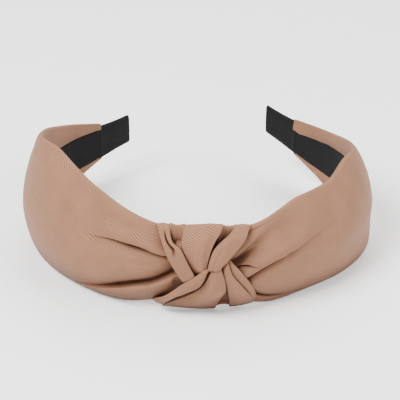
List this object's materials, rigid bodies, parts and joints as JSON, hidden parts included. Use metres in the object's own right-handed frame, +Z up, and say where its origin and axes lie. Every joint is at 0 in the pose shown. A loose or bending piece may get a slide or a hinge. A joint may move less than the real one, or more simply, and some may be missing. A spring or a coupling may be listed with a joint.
{
  "type": "knotted headband",
  "caption": "Wide satin headband on a springy hoop, with a gathered knot at the crown and a black ribbon lining.",
  "frame": {"origin": "on the table, under the centre of the headband's box, as it lies on its lower rims", "axes": "+X across the head, to the right of someone facing the knot, +Y from the knot towards the tips, +Z up"},
  "size_m": [0.152, 0.131, 0.054],
  "materials": {
    "satin_cloth": "dusty tan-rose satin with a fine diagonal weave and a soft sheen",
    "black_ribbon": "matt black ribbon",
    "hoop_plastic": "black moulded plastic"
  },
  "bodies": {
    "crown": {"hoop_crown": "hoop_plastic", "lining_crown": "black_ribbon", "knot_upper_left_fold": "satin_cloth", "knot_upper_right_fold": "satin_cloth", "knot_lower_left_fold": "satin_cloth", "knot_lower_centre_fold": "satin_cloth", "knot_lower_right_fold": "satin_cloth", "knot_left_gather": "satin_cloth", "knot_right_gather": "satin_cloth"},
    "left_arm": {"hoop_arm_left": "hoop_plastic", "lining_left": "black_ribbon", "panel_left": "satin_cloth", "tip_sleeve_left": "black_ribbon"},
    "right_arm": {"hoop_arm_right": "hoop_plastic", "lining_right": "black_ribbon", "panel_right": "satin_cloth", "tip_sleeve_right": "black_ribbon"}
  },
  "joints": [
    {"name": "left_arm_flex", "type": "hinge", "parent": "crown", "child": "left_arm", "pos_m": [-0.02113, -0.05472, 0.02], "axis": [0, 0, 1], "range_deg": [-6, 12], "stiffness_Nm_per_rad": 1},
    {"name": "right_arm_flex", "type": "hinge", "parent": "crown", "child": "right_arm", "pos_m": [0.02514, -0.05354, 0.02], "axis": [0, 0, -1], "range_deg": [-6, 12], "stiffness_Nm_per_rad": 1}
  ]
}
